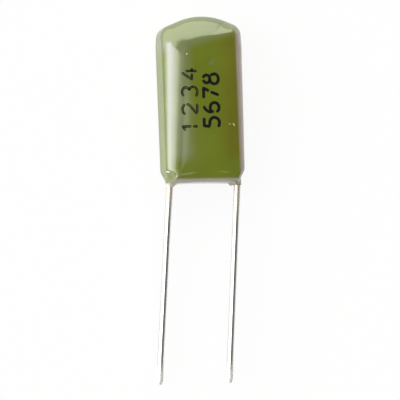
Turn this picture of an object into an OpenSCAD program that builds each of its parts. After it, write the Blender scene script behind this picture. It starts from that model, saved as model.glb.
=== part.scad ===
// Radial film capacitor: a pressed film roll with two wire leads, dipped in green epoxy.
// It lies on its flat back. +Z points out of the front face, +Y towards the domed end,
// and the leads run towards -Y. The origin is the middle of the flat back face.

/* [Film roll] */
// How far the pressed roll reaches past the middle of each lead
roll_reach = 0.05; // [0:0.01:0.2]
// Thickness of the pressed roll
roll_t = 2.3; // [2:0.1:4]
// Length of the roll along the leads
roll_l = 9.4; // [8:0.1:14]

/* [Epoxy coating] */
// Epoxy over the two rounded sides of the roll
coat_side = 0.43; // [0.3:0.01:1]
// Epoxy over the front and the back of the roll
coat_face = 0.6; // [0.6:0.05:0.9]
// Epoxy between the roll and the lead end
coat_end = 1.1; // [0.9:0.05:1.6]
// Epoxy between the roll and the top of the dome
coat_dome = 1.5; // [1:0.05:2.5]
// Swell of the front face between its edges
face_crown = 0.1; // [0.02:0.01:0.15]
// How much lower the front face lies at the lead end than at the dome
front_fall = 0.5; // [0:0.05:0.5]
// Width of the right long edge on the flat faces, near the dome
edge_w = 0.74; // [0.5:0.01:0.9]
// Width of the right long edge on the flat faces, near the leads
edge_low_w = 0.62; // [0.4:0.01:0.8]
// Width of the left long edge on the flat faces, near the dome
left_edge_w = 1.6; // [0.5:0.05:1.7]
// Width of the left long edge on the flat faces, near the leads
left_edge_low_w = 0.85; // [0.4:0.05:1.2]
// Height of each long edge on the sides, where the front face is highest
edge_h = 0.88; // [0.75:0.01:1.1]
// Narrowing of each side towards the leads
side_taper = 0.08; // [0:0.01:0.15]

/* [Domed end] */
// Slope of the dome's two flanks, in degrees
dome_slope = 22; // [14:1:28]
// Radius over the top of the dome
dome_r = 4.55; // [3:0.05:6]
// Sideways shift of the top, where the epoxy ran to one side
dome_shift = 0.15; // [0:0.05:0.4]
// Radius of the two shoulders
shoulder_r = 0.85; // [0.3:0.05:1]
// Length of the bevel from the flat faces to the top of the dome
bevel_l = 1.6; // [1:0.05:2]
// Slope of the bevel's edge across the flat faces, in degrees
bevel_tilt = 12; // [0:1:14]
// Thickness of the dome's rim
dome_rim_t = 1.0; // [0.6:0.05:1.6]

/* [Lead end] */
// Length of the slanted corners
corner_l = 0.88; // [0.5:0.01:1.2]
// How far the lead end reaches past the middle of each lead
foot_reach = 0.06; // [0.04:0.01:0.3]
// Depth of the hollow between the leads
end_hollow = 0.08; // [0.02:0.01:0.2]
// Rounding of the lead end, measured along the leads
end_edge = 0.45; // [0.3:0.05:0.7]
// Thickness of the lead end's wall midway between the leads
end_rim_t = 1.2; // [0.8:0.1:1.6]
// Epoxy outside each lead where it leaves the body
lead_skin = 0.08; // [0.05:0.01:0.2]
// Length of the epoxy that creeps down each lead
creep_l = 0.34; // [0.15:0.01:0.6]
// Width of that epoxy at its foot, towards the other lead
creep_w = 0.4; // [0.2:0.05:0.6]
// Diameter of the small drip beside the right lead
drip_d = 0.38; // [0.3:0.02:0.6]

/* [Leads] */
// Distance between the leads where they leave the body
lead_pitch = 5; // [4.4:0.1:5.6]
// Diameter of the tinned wire
lead_d = 0.5; // [0.4:0.05:0.6]
// Sideways shift of both leads in the body
lead_shift = 0.03; // [0:0.01:0.12]
// Free length of each lead
lead_l = 14.3; // [8:0.1:30]
// Lean of the left lead, in degrees
lean_left = 4.9; // [0:0.1:10]
// Lean of the right lead, in degrees
lean_right = 4.3; // [0:0.1:10]
// Radius of the wire's two bends inside the epoxy, at its middle
bend_r = 0.5; // [0.35:0.05:0.7]
// Slant between those two bends, in degrees
step_angle = 30; // [24:1:40]
// Length of the pinched point at each lead's tip
tip_l = 0.3; // [0.1:0.05:0.6]
// Diameter of the cut end of the tip
tip_d = 0.3; // [0.15:0.05:0.4]

/* [Foil paddles] */
// Width of the flattened inner end of each lead
paddle_w = 0.8; // [0.6:0.05:1]
// Thickness of the flattened inner end
paddle_t = 0.22; // [0.15:0.01:0.3]
// Length of the flattened inner end
paddle_l = 6.5; // [4:0.1:7]
// Film between the paddle and the side of the roll
paddle_edge = 0.1; // [0.05:0.05:0.3]

/* [Hidden] */

roll_w = lead_pitch + 2 * roll_reach;
body_w = roll_w + 2 * coat_side;
body_t = roll_t + 2 * coat_face;
body_l = roll_l + coat_end + coat_dome;
mid_z = body_t / 2;
end_y = -body_l / 2;
top_y = body_l / 2;
roll_y = end_y + coat_end;

// The last bend of each wire ends this far outside the lead end, inside the crept epoxy
exit_gap = 0.1;
// Straight wire between the deeper of the bends and the flattened end
inner_straight = 0.1;
// Tapered neck between the round wire and its flattened end
neck_l = 0.3;
paddle_x = roll_w / 2 - paddle_edge - paddle_w / 2;
paddle_y = end_y - exit_gap + inner_straight + max(step_run(lean_left), step_run(-lean_right));

// Flat faces: how far their edge lies inside the rim at the corners of the lead end
flat_corner_x = 0.15;
flat_corner_l = 0.3;
flat_slope = 2;
flat_dome_r = 12;
flat_shoulder_r = 0.35;

// Rounding of the lead end's corners: at the leads, and where the slanted corners end
foot_r = 0.15;
corner_r = 0.5;
// Radius of the hollow between the leads
hollow_r = 40;
// The wall thins towards the dome and the lead end: how far below the top this starts,
// over what length, and how far past the slanted corners it starts at the other end
thin_from = 2.4;
thin_over = 1.9;
end_thin = 0.3;
// Exponents of the edge's section, inwards and upwards. With 1 and 2 it is a parabola
// that eases into the flat face and meets the wall at a crease.
side_ease = [0.85, 1.7];
dome_ease = [1.29, 1.29];
// How the wall rises from the leads to the middle of the lead end
end_rise = 4;
// Middle of the drip, beside its lead, as a share of its diameter
drip_gap = 0.55;

// Points on each rounded corner, and along each straight side
end_points = 7;
foot_points = 4;
corner_points = 5;
shoulder_points = 8;
dome_points = 15;
side_points = 3;
edge_steps = 6;
crown_steps = [0.35, 0.7];
creep_sides = 20;
creep_steps = 5;
$fn = 48;

function unit(v) = v / norm(v);
function mix(a, b, t) = a + (b - a) * t;
function smooth(t) = let (u = min(max(t, 0), 1)) u * u * (3 - 2 * u);
function turn(from, to) = to - from - 360 * round((to - from) / 360);
function bearing(v) = atan2(v.y, v.x);
function polar(r, angle) = r * [cos(angle), sin(angle)];

// Distance from a corner to where an arc of radius r leaves its two edges
function reach(a, b, c, r) = r / tan(acos(unit(a - b) * unit(c - b)) / 2);

// Centre of the arc that rounds the corner b between a and c
function arc_centre(a, b, c, r) =
    let (half = acos(unit(a - b) * unit(c - b)) / 2)
    b + unit(unit(a - b) + unit(c - b)) * r / sin(half);

// Points on the arc that rounds the corner b. It takes up at most the given share
// of the shorter edge, so that neighbouring arcs never meet.
function corner_arc(a, b, c, r, count, share) =
    let (
        limit = share * min(norm(a - b), norm(c - b)),
        fit = r * min(1, limit / reach(a, b, c, r)),
        run = reach(a, b, c, fit),
        centre = arc_centre(a, b, c, fit),
        first = bearing(b + unit(a - b) * run - centre),
        sweep = turn(first, bearing(b + unit(c - b) * run - centre))
    )
    [for (k = [0:count - 1]) centre + polar(fit, first + sweep * k / (count - 1))];

// Outline of the body, anticlockwise from the middle of the lead end. Every outline
// has the same count of points, so that two of them can be joined point by point.
function outline(foot, low, high, left_low, left_high, lo, hi, cut, hollow, slope, tilt, over_r, round_r) =
    let (
        peak = hi + over_r * (1 / cos(slope) - 1),
        right = [high, peak - (high - dome_shift) * tan(slope - tilt)],
        left = [-left_high, peak - (left_high + dome_shift) * tan(slope + tilt)],
        right_corner = [low, lo + cut],
        left_corner = [-left_low, lo + cut],
        rise = [for (k = [1:side_points]) k / (side_points + 1)],
        // Each corner: its point, radius, count of points and share of its edges
        corners = concat(
            [[[0, lo + hollow], hollow_r, end_points, 0.45]],
            [[[foot, lo], foot_r, foot_points, 0.3]],
            [[right_corner, corner_r, corner_points, 0.45]],
            [for (t = rise) [mix(right_corner, right, t), 0, 1, 0]],
            [[right, round_r, shoulder_points, 0.2]],
            [[[dome_shift, peak], over_r, dome_points, 0.75]],
            [[left, round_r, shoulder_points, 0.2]],
            [for (t = rise) [mix(left, left_corner, t), 0, 1, 0]],
            [[left_corner, corner_r, corner_points, 0.45]],
            [[[-foot, lo], foot_r, foot_points, 0.3]]
        ),
        n = len(corners)
    )
    [for (i = [0:n - 1])
        let (a = corners[(i + n - 1) % n][0], b = corners[i], c = corners[(i + 1) % n][0])
        each (b[1] == 0 ? [b[0]] : corner_arc(a, b[0], c, b[1], b[2], b[3]))];

high_x = body_w / 2;
low_x = high_x - side_taper;
flat_top = top_y - bevel_l;
rim = outline(
    lead_pitch / 2 + foot_reach, low_x, high_x, low_x, high_x, end_y, top_y, corner_l, end_hollow,
    dome_slope, 0, dome_r, shoulder_r);
flat = outline(
    low_x - edge_low_w - flat_corner_x, low_x - edge_low_w, high_x - edge_w,
    low_x - left_edge_low_w, high_x - left_edge_w, end_y + end_edge, flat_top, flat_corner_l,
    end_hollow / 2, flat_slope, bevel_tilt, flat_dome_r, flat_shoulder_r);

// Height of the front face without its swell: it falls evenly from the bevel to the leads
function front_z(y) = body_t - front_fall * min(max((flat_top - y) / (flat_top - end_y), 0), 1);

// Half the height of the upright wall at a point of the rim: tall along the sides,
// low round the dome, and lowest where it wraps the leads
function wall_half(p) =
    let (
        side = mid_z - edge_h,
        foot = lead_pitch / 2 + lead_d / 2,
        end = mix(end_rim_t / 2, lead_d / 2 + lead_skin, pow(min(abs(p.x) / foot, 1), end_rise)),
        end_l = corner_l + end_thin
    )
    mix(mix(side, dome_rim_t / 2, near_dome(p)), end, smooth((end_y + end_l - p.y) / end_l));

// 0 along the sides, rising to 1 round the dome
function near_dome(p) = smooth((p.y - (top_y - thin_from)) / thin_over);

// One ring of the skin. Angle 0 is the upright wall, 90 the edge of the flat face,
// and up is 1 for the front and -1 for the back.
function skin_ring(angle, up) =
    [for (i = [0:len(rim) - 1])
        let (
            ease = mix(side_ease, dome_ease, near_dome(rim[i])),
            inward = 1 - pow(cos(angle), ease[0]),
            outward = pow(sin(angle), ease[1]),
            xy = mix(rim[i], flat[i], inward),
            wall = wall_half(rim[i]),
            z = up > 0
                ? mix(mid_z + wall, front_z(xy.y) - face_crown, outward)
                : (mid_z - wall) * (1 - outward)
        )
        [xy.x, xy.y, z]];

// A ring further in on the front face, which swells a little towards its middle
function crown_ring(t) =
    let (spine = flat_top - high_x)
    [for (p = flat)
        let (xy = mix(p, [0, min(max(p.y, -spine), spine)], t))
        [xy.x, xy.y, front_z(xy.y) - face_crown * pow(1 - t, 2) * (1 - t / 4)]];

// Skin through a list of rings with the same count of points, closed at both ends. The
// last ring is closed by triangles that meet at the point tip.
module skin(rings, tip) {
    n = len(rings[0]);
    last = len(rings) - 1;
    sides = [for (r = [0:last - 1], i = [0:n - 1])
        let (j = (i + 1) % n, low = r * n, high = low + n)
        each [[low + i, high + i, high + j], [low + i, high + j, low + j]]];
    polyhedron(
        [for (ring = rings) each ring, tip],
        concat(
            sides,
            [[for (i = [0:n - 1]) i]],
            [for (i = [0:n - 1]) [last * n + i, len(rings) * n, last * n + (i + 1) % n]]));
}

// Outer form of the dipped body
module body_skin() {
    angles = [for (k = [0:edge_steps]) 90 * k / edge_steps];
    skin(
        concat(
            [for (k = [edge_steps:-1:0]) skin_ring(angles[k], -1)],
            [for (angle = angles) skin_ring(angle, 1)],
            [for (t = crown_steps) crown_ring(t)]),
        [0, 0, front_z(0)]);
}

// A lead is drawn on the left side, and the right one is its mirror image with a lean
// of its own. Inside the epoxy two bends carry the wire outwards from its flattened
// end. These are the slanted stretch between the bends, and how far the bends and the
// slant reach along the body.
function slant_l(lean) =
    (lead_pitch / 2 - paddle_x - bend_r * (1 + cos(lean) - 2 * cos(step_angle))) / sin(step_angle);
function step_run(lean) =
    bend_r * (2 * sin(step_angle) - sin(lean)) + slant_l(lean) * cos(step_angle);

// Straight wire along +Z, with what follows at its far end
module straight(l) {
    cylinder(d = lead_d, h = l);
    translate([0, 0, l]) children();
}

// Bend in a wire that comes in along +Z, towards +X, with what follows at its far end.
// A negative angle bends it towards -X.
module bend(angle) {
    half_turn = angle < 0 ? 180 : 0;
    rotate([0, 0, half_turn]) translate([bend_r, 0, 0]) {
        rotate([90, 0, 180]) rotate_extrude(angle = abs(angle)) translate([bend_r, 0]) circle(d = lead_d);
        rotate([0, abs(angle), 0]) translate([-bend_r, 0, 0]) rotate([0, 0, -half_turn]) children();
    }
}

// The whole round wire of a lead, bends and pinched tip included
module wire(lean) {
    translate([-paddle_x, paddle_y, mid_z]) rotate([90, 0, 0])
        straight(paddle_y - end_y + exit_gap - step_run(lean))
            bend(-step_angle)
                straight(slant_l(lean))
                    bend(step_angle - lean)
                        straight(lead_l - exit_gap - tip_l)
                            cylinder(d1 = lead_d, d2 = tip_d, h = tip_l);
}

// Flattened inner end of a lead, which is welded to the foil, with a tapered neck
module paddle() {
    round_y = paddle_l - paddle_w / 2;
    translate([-paddle_x, paddle_y, mid_z]) {
        translate([0, 0, -paddle_t / 2]) linear_extrude(paddle_t) {
            polygon([
                [-lead_d / 2, 0], [lead_d / 2, 0], [paddle_w / 2, neck_l], [paddle_w / 2, round_y],
                [-paddle_w / 2, round_y], [-paddle_w / 2, neck_l]]);
            translate([0, round_y]) circle(d = paddle_w);
        }
        rotate([-90, 0, 0]) cylinder(d1 = lead_d, d2 = paddle_t, h = neck_l);
    }
}

module left_lead() {
    translate([lead_shift, 0, 0]) {
        wire(lean_left);
        paddle();
    }
}

module right_lead() {
    translate([lead_shift, 0, 0]) mirror([1, 0, 0]) {
        wire(-lean_right);
        paddle();
    }
}

// Racetrack block that the wound film is pressed into
module roll_block() {
    straight = roll_w - roll_t;
    translate([0, roll_y, mid_z]) rotate([-90, 0, 0]) linear_extrude(roll_l) {
        square([straight, roll_t], center = true);
        for (side = [-1, 1]) translate([side * straight / 2, 0]) circle(d = roll_t);
    }
}

// Epoxy that crept down a lead: wide at its foot on the inner side, thin at its tip.
// Side is 1 for the right lead and -1 for the left one.
module creep(side, lean) {
    middles = [for (k = [-1:creep_steps])
        let (
            t = max(k, 0) / creep_steps,
            swell = creep_w * pow(1 - t, 2) / 2,
            y = k < 0 ? end_y + end_edge : end_y + end_hollow / 2 - creep_l * t,
            drift = -tan(lean) * max(end_y - exit_gap - y, 0)
        )
        [lead_shift + side * (lead_pitch / 2 - swell) + drift, y, (lead_d + lead_skin) / 2 + swell]];
    end = middles[creep_steps + 1];
    skin(
        [for (m = middles)
            [for (i = [0:creep_sides - 1])
                let (turned = polar(m[2], 360 * i / creep_sides))
                [m.x + turned.x, m.y, mid_z + turned.y]]],
        [end.x, end.y, mid_z]);
}

// Small drip of epoxy that set beside the right lead
module drip() {
    translate([lead_shift + lead_pitch / 2 - lead_d / 2 - drip_d * drip_gap, end_y + end_hollow / 2, mid_z])
        sphere(d = drip_d);
}

module epoxy_coating() {
    color("#6f7c24")
        difference() {
            union() {
                body_skin();
                creep(-1, lean_left);
                creep(1, lean_right);
                drip();
            }
            roll_block();
            left_lead();
            right_lead();
        }
}

module film_roll() {
    color("#d9d9d2")
        difference() {
            roll_block();
            left_lead();
            right_lead();
        }
}

module lead_left() {
    color("#b4b1aa") left_lead();
}

module lead_right() {
    color("#b4b1aa") right_lead();
}

epoxy_coating();
film_roll();
lead_left();
lead_right();
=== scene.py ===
"""Looks of a green epoxy-dipped film capacitor that lies on its back on a pale floor."""

import math

import bpy
import numpy as np
from mathutils import Matrix, Vector, noise
from mathutils.bvhtree import BVHTree


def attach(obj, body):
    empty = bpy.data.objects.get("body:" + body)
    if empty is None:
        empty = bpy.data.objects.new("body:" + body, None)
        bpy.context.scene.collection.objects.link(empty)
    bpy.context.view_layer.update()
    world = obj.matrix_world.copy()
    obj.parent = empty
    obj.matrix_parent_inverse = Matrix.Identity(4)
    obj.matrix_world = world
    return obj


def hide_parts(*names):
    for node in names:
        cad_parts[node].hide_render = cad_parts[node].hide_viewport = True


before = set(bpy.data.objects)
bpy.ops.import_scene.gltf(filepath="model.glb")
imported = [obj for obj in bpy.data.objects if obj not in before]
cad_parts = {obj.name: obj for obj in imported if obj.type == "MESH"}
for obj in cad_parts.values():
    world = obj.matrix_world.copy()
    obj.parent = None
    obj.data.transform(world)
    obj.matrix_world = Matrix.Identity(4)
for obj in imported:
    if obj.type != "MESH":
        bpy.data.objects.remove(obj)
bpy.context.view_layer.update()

MM = 0.001

# Sizes of the coated body, in millimetres and degrees, as the frame has them
PITCH = 5.0
WIRE_D = 0.5
BODY_W = 5.96
BODY_T = 3.5
BODY_L = 12.0
MID_Z = BODY_T / 2
END_Y = -BODY_L / 2
TOP_Y = BODY_L / 2
EDGE_W = 0.74
EDGE_LOW_W = 0.62
LEFT_EDGE_W = 1.6
LEFT_EDGE_LOW_W = 0.85
EDGE_H = 0.88
FRONT_FALL = 0.5
SIDE_TAPER = 0.08
CORNER_L = 0.88
FOOT_REACH = 0.06
CORNER_R = 0.5
FOOT_R = 0.15
END_HOLLOW = 0.08
HOLLOW_R = 40
END_EDGE = 0.45
END_RIM_T = 1.2
END_RISE = 4
END_THIN = 0.3
LEAD_SKIN = 0.08
DOME_SLOPE = 22
DOME_R = 4.55
DOME_SHIFT = 0.15
SHOULDER_R = 0.85
BEVEL_L = 1.6
BEVEL_TILT = 12
DOME_RIM_T = 1.0
THIN_FROM = 2.4
THIN_OVER = 1.9
SIDE_EASE = (0.85, 1.7)
DOME_EASE = (1.29, 1.29)
FLAT_CORNER_X = 0.15
FLAT_CORNER_L = 0.3
FLAT_SLOPE = 2
FLAT_DOME_R = 12
FLAT_SHOULDER_R = 0.35
CREEP_W = 0.4
EXIT_GAP = 0.1
LEAD_SHIFT = 0.03
LEANS = {-1: 4.9, 1: 4.3}
DRIP_D = 0.38
DRIP_GAP = 0.55

# The pressed film roll inside
ROLL_W = 5.1
ROLL_T = 2.3
ROLL_Y = (-4.9, 4.5)

# The front's swell, which is less than the frame's and fades out towards the dome
FACE_CROWN = 0.06
CROWN_RUN = 0.3
CROWN_FROM = -1
CROWN_OVER = 3

# How far the epoxy crept down the left and the right wire, which is less than the frame's
CREEP_LENGTHS = {-1: 0.25, 1: 0.14}

# How the skin is pulled towards each wire: from this far above the lead end, over this
# length, this far round the wire, and by this much at the wire
PULL_FROM = 0.55
PULL_OVER = 0.45
PULL_REACH = 0.5
PULL_L = 0.16

# Slow waves that the coat set with: height in mm, waves per mm and place in the noise
RIPPLES = ((0.010, 0.33, (4.1, 0, 0)), (0.0035, 0.9, (0, 7.3, 0)))
# How far the waved skin is sunk, so that its outline stays inside the frame's
RIPPLE_SINK = 0.008
# The waves fade out from this far below the middle, over this height
CALM_FROM = 0.4
CALM_OVER = 0.6

# Points on the arc of each kind of corner, and the most it takes of the shorter side by it
HOLLOW_ARC = (21, 0.45)
FOOT_ARC = (9, 0.3)
CORNER_ARC = (15, 0.45)
SHOULDER_ARC = (31, 0.2)
DOME_ARC = (61, 0.75)
# The most between two points of the rim, in mm
RIM_STEP = 0.085

EDGE_RINGS = 14
WALL_RINGS = 12
FACE_RINGS = 16
# How far in towards the middle the last ring of the front and the rings of the back lie
FRONT_REACH = 0.985
BACK_STOPS = (0.9, 0.6, 0.3)


# Helpers

def linear(code):
    """An sRGB hex colour as linear RGBA."""
    parts = [int(code[i:i + 2], 16) / 255 for i in (1, 3, 5)]
    return [c / 12.92 if c <= 0.04045 else ((c + 0.055) / 1.055) ** 2.4 for c in parts] + [1.0]


def add(tree, kind, inputs=(), **settings):
    """Adds a node. inputs maps a socket to its value, or to the output that feeds it."""
    node = tree.nodes.new("ShaderNode" + kind)
    for name, value in settings.items():
        setattr(node, name, value)
    for key, value in dict(inputs).items():
        if isinstance(value, bpy.types.NodeSocket):
            tree.links.new(value, node.inputs[key])
        else:
            node.inputs[key].default_value = value
    return node


def new_material(name):
    """An empty node material and its tree."""
    material = bpy.data.materials.new(name)
    material.use_nodes = True
    material.node_tree.nodes.clear()
    return material, material.node_tree


def smooth(t):
    """A soft step from 0 to 1 as t goes from 0 to 1."""
    t = np.clip(t, 0, 1)
    return t * t * (3 - 2 * t)


def mix(a, b, t):
    """The value that lies the share t of the way from a to b."""
    return a + (b - a) * t


def mesh_object(name, points, faces, material):
    """A smoothly shaded object from points in millimetres."""
    mesh = bpy.data.meshes.new(name)
    mesh.from_pydata([tuple(q) for q in np.asarray(points) * MM], [], faces)
    mesh.validate()
    mesh.materials.append(material)
    mesh.shade_smooth()
    obj = bpy.data.objects.new(name, mesh)
    bpy.context.scene.collection.objects.link(obj)
    return obj


# Outline of the coated body, as in the frame but with more points

def corner_arc(a, b, c, r, count, share):
    """Points on the arc that rounds the corner b between a and c."""
    to_a, to_c = a - b, c - b
    len_a, len_c = np.linalg.norm(to_a), np.linalg.norm(to_c)
    to_a, to_c = to_a / len_a, to_c / len_c
    half = math.acos(float(to_a @ to_c)) / 2
    r = r * min(1, share * min(len_a, len_c) * math.tan(half) / r)
    middle = to_a + to_c
    centre = b + middle / np.linalg.norm(middle) * r / math.sin(half)
    start = b + to_a * r / math.tan(half) - centre
    end = b + to_c * r / math.tan(half) - centre
    first, last = math.atan2(start[1], start[0]), math.atan2(end[1], end[0])
    sweep = (last - first + math.pi) % (2 * math.pi) - math.pi
    return [centre + r * np.array((math.cos(first + sweep * k / (count - 1)),
                                   math.sin(first + sweep * k / (count - 1))))
            for k in range(count)]


def outline(foot, low, high, left_low, left_high, lo, hi, cut, hollow, slope, tilt, dome_r,
            shoulder_r):
    """Outline of the body, anticlockwise from the middle of the lead end. foot, low and high
    are its half widths at the leads, above the slanted corners and at the dome."""
    slope, tilt = math.radians(slope), math.radians(tilt)
    peak = hi + dome_r * (1 / math.cos(slope) - 1)
    right = (high, peak - (high - DOME_SHIFT) * math.tan(slope - tilt))
    left = (-left_high, peak - (left_high + DOME_SHIFT) * math.tan(slope + tilt))
    corners = [
        ((0, lo + hollow), HOLLOW_R, *HOLLOW_ARC),
        ((foot, lo), FOOT_R, *FOOT_ARC),
        ((low, lo + cut), CORNER_R, *CORNER_ARC),
        (right, shoulder_r, *SHOULDER_ARC),
        ((DOME_SHIFT, peak), dome_r, *DOME_ARC),
        (left, shoulder_r, *SHOULDER_ARC),
        ((-left_low, lo + cut), CORNER_R, *CORNER_ARC),
        ((-foot, lo), FOOT_R, *FOOT_ARC),
    ]
    points = []
    for i, (at, r, count, share) in enumerate(corners):
        before, after = corners[i - 1][0], corners[(i + 1) % len(corners)][0]
        points += corner_arc(np.array(before), np.array(at), np.array(after), r, count, share)
    return np.array(points)


def filled(a, b, step):
    """Both outlines with points added where a's are further apart than step."""
    out_a, out_b = [], []
    for i in range(len(a)):
        j = (i + 1) % len(a)
        n = max(1, math.ceil(np.linalg.norm(a[j] - a[i]) / step))
        for k in range(n):
            out_a.append(mix(a[i], a[j], k / n))
            out_b.append(mix(b[i], b[j], k / n))
    return np.array(out_a), np.array(out_b)


# The rim of the body's wall and, point for point, the edge of its flat faces
HIGH_X = BODY_W / 2
LOW_X = HIGH_X - SIDE_TAPER
RIM, FLAT = filled(
    outline(foot=PITCH / 2 + FOOT_REACH, low=LOW_X, high=HIGH_X, left_low=LOW_X,
            left_high=HIGH_X, lo=END_Y, hi=TOP_Y, cut=CORNER_L, hollow=END_HOLLOW,
            slope=DOME_SLOPE, tilt=0, dome_r=DOME_R, shoulder_r=SHOULDER_R),
    outline(foot=LOW_X - EDGE_LOW_W - FLAT_CORNER_X, low=LOW_X - EDGE_LOW_W,
            high=HIGH_X - EDGE_W, left_low=LOW_X - LEFT_EDGE_LOW_W,
            left_high=HIGH_X - LEFT_EDGE_W, lo=END_Y + END_EDGE, hi=TOP_Y - BEVEL_L,
            cut=FLAT_CORNER_L, hollow=END_HOLLOW / 2, slope=FLAT_SLOPE, tilt=BEVEL_TILT,
            dome_r=FLAT_DOME_R, shoulder_r=FLAT_SHOULDER_R),
    RIM_STEP)


# Skin of the coated body

def near_dome(y):
    """How far the wall has gone over to the dome's thinner one, from 0 to 1."""
    return smooth((y - (TOP_Y - THIN_FROM)) / THIN_OVER)


def front_height(p):
    """Height of the front face, which falls evenly from the dome's bevel to the lead end."""
    high = TOP_Y - BEVEL_L
    return BODY_T - FRONT_FALL * np.clip((high - p[:, 1]) / (high - END_Y), 0, 1)


def wall_half(p):
    """Half the height of the upright wall at points of the rim."""
    foot = PITCH / 2 + WIRE_D / 2
    end = mix(END_RIM_T / 2, WIRE_D / 2 + LEAD_SKIN,
              np.minimum(abs(p[:, 0]) / foot, 1) ** END_RISE)
    end_l = CORNER_L + END_THIN
    side = mix(MID_Z - EDGE_H, DOME_RIM_T / 2, near_dome(p[:, 1]))
    return mix(side, end, smooth((END_Y + end_l - p[:, 1]) / end_l))


def wall_ring(t):
    """A ring on the upright wall, from its lower rim at -1 to its upper one at 1."""
    return np.column_stack((RIM, MID_Z + wall_half(RIM) * t))


def edge_ring(angle, front):
    """A ring on the rounded edge between the wall, at angle 0, and the front or the back."""
    near = near_dome(RIM[:, 1])
    inward = 1 - max(math.cos(angle), 0) ** mix(SIDE_EASE[0], DOME_EASE[0], near)
    outward = math.sin(angle) ** mix(SIDE_EASE[1], DOME_EASE[1], near)
    xy = mix(RIM, FLAT, inward[:, None])
    wall = wall_half(RIM)
    if front:
        z = MID_Z + mix(wall, front_height(xy) - MID_Z - FACE_CROWN, outward)
    else:
        z = (MID_Z - wall) * (1 - outward)
    return np.column_stack((xy, z))


def face_ring(t, front):
    """A ring further in on the front or the back face. The front swells a little."""
    spine = TOP_Y - BEVEL_L - BODY_W / 2
    middle = np.column_stack((np.zeros(len(FLAT)), np.clip(FLAT[:, 1], -spine, spine)))
    xy = mix(FLAT, middle, t)
    if not front:
        return np.column_stack((xy, np.zeros(len(xy))))
    left, right = FLAT[:, 0].min(), FLAT[:, 0].max()
    off = (2 * xy[:, 0] - left - right) / (right - left)
    lower = 1 - smooth((xy[:, 1] - CROWN_FROM) / CROWN_OVER)
    swell = (1 - off ** 2) * smooth(t / CROWN_RUN) * lower
    return np.column_stack((xy, front_height(xy) - FACE_CROWN * (1 - swell)))


def coat_rings():
    """The rings of the body's skin, from the middle of the back to that of the front."""
    angles = [math.pi / 2 * k / EDGE_RINGS for k in range(EDGE_RINGS + 1)]
    front_stops = [FRONT_REACH * k / FACE_RINGS for k in range(1, FACE_RINGS + 1)]
    return ([face_ring(t, False) for t in BACK_STOPS]
            + [edge_ring(a, False) for a in reversed(angles)]
            + [wall_ring(2 * k / WALL_RINGS - 1) for k in range(1, WALL_RINGS)]
            + [edge_ring(a, True) for a in angles]
            + [face_ring(t, True) for t in front_stops])


def creep_and_drip(p):
    """The skin swells towards each wire and over a small drip at the lead end."""
    pull = np.zeros(len(p))
    near_end = smooth((END_Y + PULL_FROM - p[:, 1]) / PULL_OVER)
    for side in LEANS:
        r = np.hypot(p[:, 0] - LEAD_SHIFT - side * PITCH / 2, p[:, 2] - MID_Z)
        foot = np.maximum(1 - np.maximum(r - WIRE_D / 2, 0) / PULL_REACH, 0)
        pull = np.maximum(pull, PULL_L * foot ** 2)
    drip_x = LEAD_SHIFT + (PITCH - WIRE_D) / 2 - DRIP_D * DRIP_GAP
    r = np.hypot(p[:, 0] - drip_x, p[:, 2] - MID_Z)
    pull = np.maximum(pull, np.sqrt(np.maximum((DRIP_D / 2) ** 2 - r ** 2, 0)))
    moved = p.copy()
    moved[:, 1] -= pull * near_end
    return moved


def creep_sleeve(side, sides=36, steps=14):
    """Rings of the epoxy that crept down a wire: wide at its foot on the inner side."""
    lean = math.tan(math.radians(LEANS[side]))
    turns = np.arange(sides) * 2 * math.pi / sides
    rings = []
    for k in range(-1, steps + 1):
        t = max(k, 0) / steps
        swell = CREEP_W * (1 - t) ** 2 / 2
        y = END_Y + (END_EDGE if k < 0 else END_HOLLOW / 2 - CREEP_LENGTHS[side] * t)
        x = LEAD_SHIFT + side * (PITCH / 2 - swell) - lean * max(END_Y - EXIT_GAP - y, 0)
        r = (WIRE_D + LEAD_SKIN) / 2 + swell
        rings.append(np.column_stack((x + r * np.cos(turns), np.full(sides, y),
                                      MID_Z + r * np.sin(turns))))
    return rings


def skin(rings):
    """Points and faces of a closed skin through rings with the same count of points."""
    n = len(rings[0])
    faces = [(k * n + i, k * n + (i + 1) % n, (k + 1) * n + (i + 1) % n, (k + 1) * n + i)
             for k in range(len(rings) - 1) for i in range(n)]
    last = (len(rings) - 1) * n
    faces += [tuple(reversed(range(n))), tuple(range(last, last + n))]
    return np.concatenate(rings), faces


def ripple(p):
    """Height of the coat's slow waves at points, in millimetres."""
    return np.array([sum(height * noise.noise(Vector(q) * waves + Vector(place))
                         for height, waves, place in RIPPLES) for q in p])


def roll_distance(p):
    """How much clear resin lies between points and the film roll, in millimetres."""
    straight = (ROLL_W - ROLL_T) / 2
    across = np.hypot(np.maximum(abs(p[:, 0]) - straight, 0), p[:, 2] - MID_Z) - ROLL_T / 2
    along = abs(p[:, 1] - sum(ROLL_Y) / 2) - (ROLL_Y[1] - ROLL_Y[0]) / 2
    return np.hypot(np.maximum(across, 0), np.maximum(along, 0))


def build_coat(material):
    """The coated body with the epoxy on both wires. Its resin attribute is the depth of
    clear resin over the roll, in metres."""
    points, faces = skin(coat_rings())
    points = creep_and_drip(points)
    body_count = len(points)
    for side in LEANS:
        more, more_faces = skin(creep_sleeve(side))
        faces += [tuple(len(points) + i for i in f) for f in more_faces]
        points = np.concatenate((points, more))
    obj = mesh_object("epoxy_coat", points, faces, material)
    mesh = obj.data
    normals = np.zeros(len(points) * 3)
    mesh.vertices.foreach_get("normal", normals)
    normals = normals.reshape(-1, 3)
    free = 1 - smooth((MID_Z - CALM_FROM - points[:, 2]) / CALM_OVER)
    free[body_count:] = 0
    points = points + normals * ((ripple(points) - RIPPLE_SINK) * free)[:, None]
    mesh.vertices.foreach_set("co", (points * MM).ravel())
    resin = mesh.attributes.new("resin", "FLOAT", "POINT")
    resin.data.foreach_set("value", roll_distance(points) * MM)
    mesh.update()
    return obj


# Materials

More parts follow.
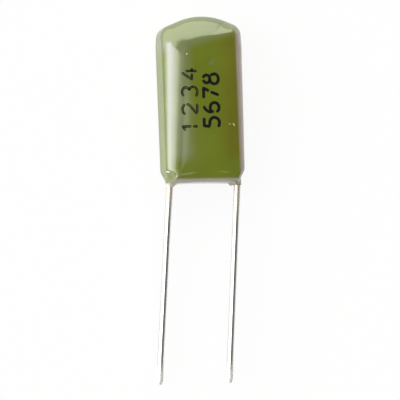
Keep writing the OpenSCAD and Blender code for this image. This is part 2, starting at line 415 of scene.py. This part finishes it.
# The resin's colour over the middle of the roll, and how it changes: what is measured, where
# the change starts and is full in mm, and the colour there. deep is the depth of clear resin,
# and the slanted measures are distances along a direction. Some of the changes are painted
# reflections, as marked below.
RESIN = "#656f14"
SLANTS = {"cap": (-0.26, 1.0, 0.0), "band": (1.0, 0.018, 0.0), "under": (1.0, 0.0, -1.0)}
TINTS = (
    ("across", 0.6, 2.4, "#65620c"),
    # painted reflection: a greyish veil over the left of the front
    ("across", -0.6, -1.8, "#747b50"),
    # back to the plain resin towards the lead end, where the painted veil and the brown end
    ("along", -3.7, -4.8, RESIN),
    # paler and greyer where clear resin is thick: partly the resin's own tone, partly painted
    # reflection
    ("deep", 0.55, 1.4, "#868f63"),
    # painted reflection: a grey-pink band along the upper right edge
    ("band", 2.27, 2.55, "#a99b8f"),
    # a saturated green again on the right wall and underneath, so that the painted band keeps to
    # the upper right edge
    ("under", 0.3, 0.65, "#647208"),
    # painted reflection: a pale grey rim on the rounded edge at the lead end
    ("along", -5.55, -5.8, "#95917a"),
    ("across", -2.3, -2.9, "#647208"),
    # paler and greyer over the domed end: partly its thick clear resin, partly painted reflection
    ("cap", 3.65, 4.6, "#737b52"),
)
# Small marks in the resin, and painted highlights and reflections: middle, half length and half
# width in mm, slant in degrees, colour
MARKS = (
    ((-1.33, 3.19, 3.40), 0.055, 0.048, 0, "#eceed0"),      # a small near-white speck
    ((1.74, -1.83, 3.17), 0.10, 0.03, 5, "#b4b784"),        # a scratch
    ((2.05, -1.87, 3.15), 0.13, 0.035, -62, "#e6e7cc"),     # its second stroke
    ((0.52, 2.60, 3.41), 0.36, 0.18, 50, "#68703a"),        # a dull smudge
    ((-1.50, -5.35, 2.97), 0.80, 0.085, 7, "#78834a"),      # painted reflection: a pale streak for light on a faint ripple at the lead end
    ((1.30, -5.24, 2.97), 0.55, 0.05, -6, "#7a8042"),       # a second painted streak
    ((-2.45, -5.40, 2.50), 0.62, 0.42, 25, "#727c38"),      # painted reflection: a pale patch at the left corner, over thicker resin
    ((-2.80, -5.17, 2.75), 0.12, 0.05, -20, "#eef2d8"),     # a nick in it
    ((-2.62, -6.25, 1.75), 0.50, 0.36, 0, "#d6d2c4"),       # the left wire's sleeve paler: partly the tinned wire under thin resin, partly painted highlight
)
# How much further than its half length a mark reaches up and down
MARK_DEPTH = 0.4
# Stains on the wires: where one starts and is full, in mm, its colour, metal and roughness
WIRE_STAINS = ((-8.9, -6.6, "#e4d8c4", 0.7, 0.3), (-18.4, -20.2, "#e2e2e0", 0.2, 0.5))
# The share of the floor's white that shadows don't darken
PAPER_GLOW = 0.92


def epoxy_material():
    """Dipped epoxy, dyed green and cured glossy: a mirror-like skin over a saturated body,
    deeper over the dark roll, brownish to the right, and paler where clear resin is thick, partly
    as painted reflection. Painted reflections also lie over the left of the front, along the upper
    right edge, over the domed end and at the lead end, with a painted glint at the lower left
    corner and a painted highlight on the left wire's sleeve.
    Its IOR is above a resin's 1.6, which stands in for the strong window of the photo."""
    material, tree = new_material("dipped_epoxy")
    place = add(tree, "TexCoord").outputs["Object"]
    across, along = add(tree, "SeparateXYZ", {0: place}).outputs[:2]
    deep = add(tree, "Attribute", attribute_name="resin").outputs["Fac"]
    measures = {"across": across, "along": along, "deep": deep}
    for name, slant in SLANTS.items():
        measures[name] = add(tree, "VectorMath", {0: place, 1: slant},
                             operation="DOT_PRODUCT").outputs["Value"]
    body = linear(RESIN)
    for name, start, end, colour in TINTS:
        share = add(tree, "MapRange", {"Value": measures[name], "From Min": start * MM,
                                       "From Max": end * MM},
                    interpolation_type="SMOOTHSTEP").outputs[0]
        body = add(tree, "Mix", {0: share, 6: body, 7: linear(colour)},
                   data_type="RGBA").outputs[2]
    cloud = add(tree, "TexNoise", {"Vector": place, "Scale": 1 / (2.2 * MM), "Detail": 2.0})
    tone = add(tree, "MapRange", {"Value": cloud.outputs[0], "From Min": 0.3, "From Max": 0.7,
                                  "To Min": 0.94, "To Max": 1.06}).outputs[0]
    body = add(tree, "VectorMath", {0: body, "Scale": tone}, operation="SCALE").outputs[0]
    for middle, length, width, slant, colour in MARKS:
        size = Vector((length, width, length + MARK_DEPTH)) * MM
        local = add(tree, "Mapping", {"Vector": place, "Location": Vector(middle) * MM,
                                      "Rotation": (0, 0, math.radians(slant)), "Scale": size},
                    vector_type="TEXTURE")
        off = add(tree, "VectorMath", {0: local.outputs[0]}, operation="LENGTH").outputs[1]
        share = add(tree, "MapRange", {"Value": off, "From Min": 1.1, "From Max": 0.6}).outputs[0]
        body = add(tree, "Mix", {0: share, 6: body, 7: linear(colour)},
                   data_type="RGBA").outputs[2]
    shader = add(tree, "BsdfPrincipled", {"Base Color": body, "Roughness": 0.05, "IOR": 1.95})
    add(tree, "OutputMaterial", {"Surface": shader.outputs[0]})
    return material


def wire_material():
    """Tinned steel wire: bright metal with fine drawing lines along it, stained tan by
    resin next to the body and dull at its cut end."""
    material, tree = new_material("tinned_steel_wire")
    place = add(tree, "TexCoord").outputs["Object"]
    along = add(tree, "SeparateXYZ", {0: place}).outputs[1]
    stretched = add(tree, "Mapping", {"Vector": place, "Scale": (1, 0.02, 1)}).outputs[0]
    lines = add(tree, "TexNoise", {"Vector": stretched, "Scale": 1 / (0.05 * MM), "Detail": 3.0})
    bump = add(tree, "Bump", {"Height": lines.outputs[0], "Strength": 0.12,
                              "Distance": 0.01 * MM})
    colour, metal = linear("#eceae6"), 1.0
    rough = add(tree, "MapRange", {"Value": lines.outputs[0], "To Min": 0.08,
                                   "To Max": 0.2}).outputs[0]
    for start, end, tint, metallic, roughness in WIRE_STAINS:
        share = add(tree, "MapRange", {"Value": along, "From Min": start * MM,
                                       "From Max": end * MM},
                    interpolation_type="SMOOTHSTEP").outputs[0]
        colour = add(tree, "Mix", {0: share, 6: colour, 7: linear(tint)},
                     data_type="RGBA").outputs[2]
        metal = add(tree, "Mix", {0: share, 2: metal, 3: metallic}).outputs[0]
        rough = add(tree, "Mix", {0: share, 2: rough, 3: roughness}).outputs[0]
    shader = add(tree, "BsdfPrincipled", {"Base Color": colour, "Metallic": metal,
                                          "Roughness": rough, "Normal": bump.outputs[0]})
    add(tree, "OutputMaterial", {"Surface": shader.outputs[0]})
    return material


def film_material():
    """Wound polyester film with aluminium foil: silvery, in thin layers."""
    material, tree = new_material("wound_film_and_foil")
    place = add(tree, "TexCoord").outputs["Object"]
    layers = add(tree, "TexWave", {"Vector": place, "Scale": 1 / (0.6 * MM), "Distortion": 0.6},
                 bands_direction="Z")
    rough = add(tree, "MapRange", {"Value": layers.outputs[1], "To Min": 0.25, "To Max": 0.5})
    shader = add(tree, "BsdfPrincipled", {"Base Color": linear("#cfcfc6"), "Metallic": 0.6,
                                          "Roughness": rough.outputs[0]})
    add(tree, "OutputMaterial", {"Surface": shader.outputs[0]})
    return material


def ink_material():
    """Stamped ink: matt black, thin in the middle of its strokes and worn in places."""
    material, tree = new_material("stamped_ink")
    place = add(tree, "TexCoord").outputs["Object"]
    edge = add(tree, "Attribute", attribute_name="edge").outputs["Fac"]
    grain = add(tree, "TexNoise", {"Vector": place, "Scale": 1 / (0.16 * MM), "Detail": 3.0})
    thin = add(tree, "Math", {0: grain.outputs[0], 1: edge}, operation="ADD").outputs[0]
    cover = add(tree, "MapRange", {"Value": thin, "From Min": 0.52, "From Max": 0.78,
                                   "To Min": 0.25, "To Max": 1.0}).outputs[0]
    shader = add(tree, "BsdfPrincipled", {"Base Color": linear("#0a0a05"), "Roughness": 0.4,
                                          "IOR": 1.35, "Alpha": cover})
    add(tree, "OutputMaterial", {"Surface": shader.outputs[0]})
    return material


def floor_material():
    """Matt white paper: shows as white and keeps the object's shadow."""
    material, tree = new_material("white_paper")
    path = add(tree, "LightPath")
    seen = path.outputs["Is Camera Ray"]
    for other in ("Is Glossy Ray", "Is Transmission Ray"):
        seen = add(tree, "Math", {0: seen, 1: path.outputs[other]},
                   operation="MAXIMUM").outputs[0]
    share = add(tree, "Math", {0: seen, 1: PAPER_GLOW}, operation="MULTIPLY").outputs[0]
    paper = add(tree, "BsdfDiffuse", {"Color": linear("#e8e8e8")})
    glow = add(tree, "Emission", {"Color": (1, 1, 1, 1), "Strength": 1.0})
    both = add(tree, "MixShader", {0: share, 1: paper.outputs[0], 2: glow.outputs[0]})
    add(tree, "OutputMaterial", {"Surface": both.outputs[0]})
    return material


# Light and floor

# The tall window's glow by the angle from straight up towards -X, in degrees. Overhead it
# is a dim, cool ceiling.
WINDOW = ((-40, 0.08), (-15.5, 0.09), (-12, 0.17), (-8, 0.5), (-2, 0.76), (2, 1.15), (7, 2.0),
          (12, 2.5), (20, 3.1), (32, 3.95), (44, 4.75), (57, 5.45), (68, 4.2), (80, 1.9),
          (94, 1.0))
WINDOW_SPAN = (("side", 3, 17, 14), ("drape", -60, 64, 61))
# A curtain hangs across the window's far upper corner, and its edge slopes this much.
DRAPE_SLOPE = 0.35
# Its colour up to each angle: the ceiling's, the curtain's at its edge, the glass's.
WINDOW_TINTS = ((-5, (0.92, 0.97, 1.2)), (25, (1.0, 1.04, 0.92)), (180, (1.0, 0.96, 1.1)))
# The other lights: colour, strength, and where each one fades. A limit gives an angle in
# degrees, the value it is measured from, and how far from it the light ends and is full.
LIGHTS = (
    ((1.0, 1.05, 0.84), 2.16, (("bearing", -27, 63, 51), ("height", 0, 77, 54))),
    ((1.0, 1.0, 1.0), 1.5, (("tilt", 80, 46, 34), ("side", -30, 26, 18))),
    ((1.0, 1.0, 1.0), 0.24, (("tilt", -80, 55, 40),)),
    ((1.0, 1.0, 1.0), 1.0, (("height", 0, 12, 4),)),
)
# The least light from anywhere
ROOM = (0.08, 0.08, 0.09)
# Half the width of the floor, in mm
FLOOR_HALF = 900.0


def sky_angles(tree):
    """The angles of a sky direction that the lights' limits name, in degrees."""
    x, y, z = add(tree, "SeparateXYZ", {0: add(tree, "TexCoord").outputs["Generated"]}).outputs
    left = add(tree, "Math", {0: x, 1: -1.0}, operation="MULTIPLY").outputs[0]
    angles = {}
    for name, operation, a, b in (("height", "ARCSINE", z, 0.0), ("side", "ARCSINE", y, 0.0),
                                  ("tilt", "ARCTAN2", left, z), ("bearing", "ARCTAN2", x, y)):
        turn = add(tree, "Math", {0: a, 1: b}, operation=operation).outputs[0]
        angles[name] = add(tree, "Math", {0: turn}, operation="DEGREES").outputs[0]
    down = add(tree, "Math", {0: angles["tilt"], 1: 0.0}, operation="MAXIMUM").outputs[0]
    angles["drape"] = add(tree, "Math", {0: down, 1: -DRAPE_SLOPE, 2: angles["side"]},
                          operation="MULTIPLY_ADD").outputs[0]
    return angles


def build_world():
    """Soft studio light: a tall, half curtained window to the left whose glow fades overhead,
    a paler one beyond the domed end, a low one at the near left, a faint one to the right,
    and white along the horizon."""
    world = bpy.data.worlds.new("studio")
    bpy.context.scene.world = world
    world.use_nodes = True
    tree = world.node_tree
    tree.nodes.clear()
    angles = sky_angles(tree)

    low, high, most = WINDOW[0][0], WINDOW[-1][0], max(glow for _, glow in WINDOW)
    along = add(tree, "MapRange", {"Value": angles["tilt"], "From Min": low, "From Max": high})
    ramp = add(tree, "ValToRGB", {"Fac": along.outputs[0]})
    stops = ramp.color_ramp.elements
    while len(stops) < len(WINDOW):
        stops.new(0.5)
    for stop, (angle, glow) in zip(stops, WINDOW):
        tint = next(colour for limit, colour in WINDOW_TINTS if angle <= limit)
        stop.position = (angle - low) / (high - low)
        stop.color = [glow / most * t for t in tint] + [1]

    total = ROOM
    for colour, strength, limits in ((ramp.outputs[0], most, WINDOW_SPAN), *LIGHTS):
        share = strength
        for name, middle, none_at, full_at in limits:
            off = add(tree, "Math", {0: angles[name], 1: middle}, operation="SUBTRACT")
            off = add(tree, "Math", {0: off.outputs[0]}, operation="ABSOLUTE")
            edge = add(tree, "MapRange", {"Value": off.outputs[0], "From Min": none_at,
                                          "From Max": full_at}, interpolation_type="SMOOTHSTEP")
            share = add(tree, "Math", {0: edge.outputs[0], 1: share},
                        operation="MULTIPLY").outputs[0]
        lit = add(tree, "VectorMath", {0: colour, "Scale": share}, operation="SCALE")
        total = add(tree, "VectorMath", {0: total, 1: lit.outputs[0]},
                    operation="MAXIMUM").outputs[0]
    seen = add(tree, "LightPath").outputs["Is Camera Ray"]
    total = add(tree, "Mix", {0: seen, 6: total, 7: (1, 1, 1, 1)}, data_type="RGBA").outputs[2]
    shader = add(tree, "Background", {"Color": total, "Strength": 1.0})
    add(tree, "OutputWorld", {"Surface": shader.outputs[0]})


def build_floor():
    """A wide sheet of paper under the part."""
    far = FLOOR_HALF
    floor = mesh_object("floor", [(-far, -far, 0), (far, -far, 0), (far, far, 0), (-far, far, 0)],
                        [(0, 1, 2, 3)], floor_material())


# Camera

# How far the camera is turned to the left, lowered towards the leads and rolled, in degrees
YAW = 15.0
PITCH_DOWN = 4.0
ROLL = 1.85
PHOTO_PX = 400
PX_PER_MM = 13.98
FRAME_MM = PHOTO_PX / PX_PER_MM
# Where the middle of the lead end shows, right of and above the photo's middle
END_PX = (3, 16)
DISTANCE_MM = 300.0
SENSOR_MM = 36.0


def build_camera():
    """The photo's camera, which looks down on the front through a long lens, a little from
    the left and from the leads' end."""
    yaw, lift, roll = (math.radians(a) for a in (YAW, PITCH_DOWN, ROLL))
    back = Vector((-math.sin(yaw) * math.cos(lift), -math.sin(lift),
                   math.cos(yaw) * math.cos(lift)))
    right0 = Vector((back.z, 0, -back.x)).normalized()
    up0 = back.cross(right0)
    right = math.cos(roll) * right0 - math.sin(roll) * up0
    up = math.sin(roll) * right0 + math.cos(roll) * up0
    px = FRAME_MM / PHOTO_PX
    aim = Vector((0, END_Y, MID_Z)) - END_PX[0] * px * right - END_PX[1] * px * up
    where = (aim + back * DISTANCE_MM) * MM
    data = bpy.data.cameras.new("camera")
    data.sensor_width = SENSOR_MM
    data.lens = SENSOR_MM * DISTANCE_MM / FRAME_MM
    data.clip_start, data.clip_end = 0.01, 10.0
    camera = bpy.data.objects.new("camera", data)
    turn = Matrix((right, up, back)).transposed().to_4x4()
    camera.matrix_world = Matrix.Translation(where) @ turn
    bpy.context.scene.collection.objects.link(camera)
    bpy.context.scene.camera = camera


# Ink

def arc(cx, cy, rx, ry, start, end, count=14):
    """Points on an ellipse's arc, with its angles in degrees."""
    return [(cx + rx * math.cos(math.radians(start + (end - start) * k / count)),
             cy + ry * math.sin(math.radians(start + (end - start) * k / count)))
            for k in range(count + 1)]


# Each digit is a list of strokes in a box 0.8 wide and 1.25 high, in millimetres
DIGITS = {
    "1": [[(0.16, 0.98), (0.44, 1.22), (0.44, 0.52)], [(0.44, 0.42), (0.44, 0.02)]],
    "2": [arc(0.4, 0.88, 0.34, 0.34, 165, 20), arc(0.4, 0.88, 0.34, 0.36, 5, -48) + [(0.08, 0.06)],
          [(0.16, 0.05), (0.78, 0.05)]],
    "3": [arc(0.38, 0.93, 0.31, 0.3, 150, -70), arc(0.38, 0.34, 0.35, 0.33, 75, -150)],
    "4": [[(0.5, 1.22), (0.04, 0.42), (0.44, 0.42)], [(0.6, 0.92), (0.6, 0.02)],
          [(0.56, 0.42), (0.8, 0.42)]],
    "5": [[(0.7, 1.2), (0.16, 1.2), (0.12, 0.72)], arc(0.36, 0.4, 0.36, 0.38, 120, -140)],
    "6": [arc(0.62, 0.5, 0.54, 0.72, 100, 172), arc(0.42, 0.38, 0.33, 0.35, 170, -160)],
    "7": [[(0.06, 1.2), (0.76, 1.2), (0.56, 0.78)], [(0.5, 0.68), (0.28, 0.02)]],
    "8": [arc(0.4, 0.95, 0.27, 0.26, 100, 440), arc(0.4, 0.36, 0.34, 0.33, 80, 415)],
}
# The lines of digits: name, digits, place of the first one, step to the next one and width of
# the strokes in mm, the digits' scale along the line and up, and how full the ink is
LINES = (
    ("digits_upper", "1234", (-0.60, -2.45), 1.26, 0.18, (1.06, 0.92), -0.1),
    ("digits_lower", "5678", (1.0, -2.12), 1.03, 0.22, (1.06, 0.96), 0.35),
)
# How far the ink lies above the coat, and the longest facet of a stroke, in mm
INK_LIFT = 0.006
INK_STEP = 0.05
# Places across a stroke where its points lie, and how blunt its tips are
LANES = (-1.0, -0.55, 0.0, 0.55, 1.0)
BLUNTNESS = 0.12
# A height above the whole part
ABOVE = 10


def ribbon(path, width):
    """A flat ribbon along a path: points, faces and how near each point is to an edge."""
    path = np.array(path, float)
    fine = [path[0]]
    for a, b in zip(path[:-1], path[1:]):
        n = max(1, math.ceil(np.linalg.norm(b - a) / INK_STEP))
        fine += [mix(a, b, (k + 1) / n) for k in range(n)]
    fine = np.array(fine)
    along = np.gradient(fine, axis=0)
    along /= np.linalg.norm(along, axis=1)[:, None]
    across = np.column_stack((-along[:, 1], along[:, 0]))
    reach = np.concatenate(([0], np.cumsum(np.linalg.norm(np.diff(fine, axis=0), axis=1))))
    from_tip = np.clip(np.minimum(reach, reach[-1] - reach) / (width / 2), 0, 1)
    half = width / 2 * np.sqrt(np.clip(1 - (1 - from_tip) ** 2, BLUNTNESS, 1))
    points = [fine + across * (half * lane)[:, None] for lane in LANES]
    edge = [np.full(len(fine), abs(lane)) for lane in LANES]
    n = len(fine)
    faces = [(k * n + i, k * n + i + 1, (k + 1) * n + i + 1, (k + 1) * n + i)
             for k in range(len(LANES) - 1) for i in range(n - 1)]
    return np.concatenate(points), faces, np.concatenate(edge)


def build_ink(line, coat, material):
    """A line of digits that reads towards the domed end, laid onto the front face."""
    name, digits, (x, y), advance, width, scale, fill = line
    tree = BVHTree.FromObject(coat, bpy.context.evaluated_depsgraph_get())
    points, faces, edges = [], [], []
    for number, digit in enumerate(digits):
        for path in DIGITS[digit]:
            flat, quads, edge = ribbon(np.array(path) * scale, width)
            faces += [tuple(len(points) + i for i in q) for q in quads]
            edges += list(np.minimum(edge + fill, 1))
            points += [(x - v, y + number * advance + u) for u, v in flat]
    laid = []
    for px, py in points:
        hit = tree.ray_cast(Vector((px, py, ABOVE)) * MM, Vector((0, 0, -1)))[0]
        laid.append((px, py, hit.z / MM + INK_LIFT))
    obj = mesh_object(name, laid, faces, material)
    attribute = obj.data.attributes.new("edge", "FLOAT", "POINT")
    attribute.data.foreach_set("value", edges)
    return obj


# Put together

build_camera()
build_world()
build_floor()

coat = build_coat(epoxy_material())
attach(coat, "root")
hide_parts("epoxy_coating")

wire = wire_material()
for node, material in (("lead_left", wire), ("lead_right", wire), ("film_roll", film_material())):
    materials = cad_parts[node].data.materials
    materials.clear()
    materials.append(material)

ink = ink_material()
for line in LINES:
    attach(build_ink(line, coat, ink), "root")

bpy.context.scene.view_settings.view_transform = "Standard"
